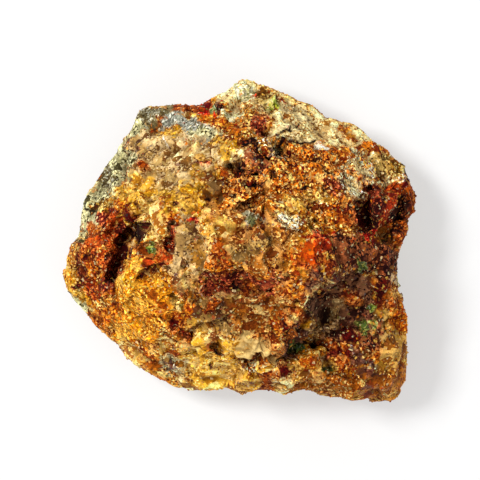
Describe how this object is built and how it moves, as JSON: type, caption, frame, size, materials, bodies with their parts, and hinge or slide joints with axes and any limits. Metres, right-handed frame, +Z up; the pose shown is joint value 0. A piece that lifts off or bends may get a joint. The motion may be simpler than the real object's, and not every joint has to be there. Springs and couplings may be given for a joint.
{
  "type": "zeunerite specimen",
  "caption": "Loose lump of weathered vein rock, rusty iron oxides and pale quartz, with ledges, pits and small green zeunerite plates; lies on a flat break.",
  "frame": {"origin": "on the flat base, under the middle of the lump's outline", "axes": "+Z up, away from the flat base, the direction the picture was taken from; +X along the lump's longest way, to the picture's right; +Y towards the picture's top"},
  "size_m": [0.053, 0.0484, 0.0314],
  "materials": {
    "matrix_stone": "rough broken limonite and quartz, dull with small quartz glints",
    "zeunerite": "glassy to pearly crystal plates"
  },
  "bodies": {
    "root": {"matrix": "matrix_stone", "zeunerite_vug_side": "zeunerite", "zeunerite_summit": "zeunerite", "zeunerite_red_cavity": "zeunerite", "zeunerite_centre": "zeunerite", "zeunerite_bowl_brow": "zeunerite", "zeunerite_slot": "zeunerite", "zeunerite_east_wall": "zeunerite", "zeunerite_bowl_edge": "zeunerite"}
  },
  "joints": []
}
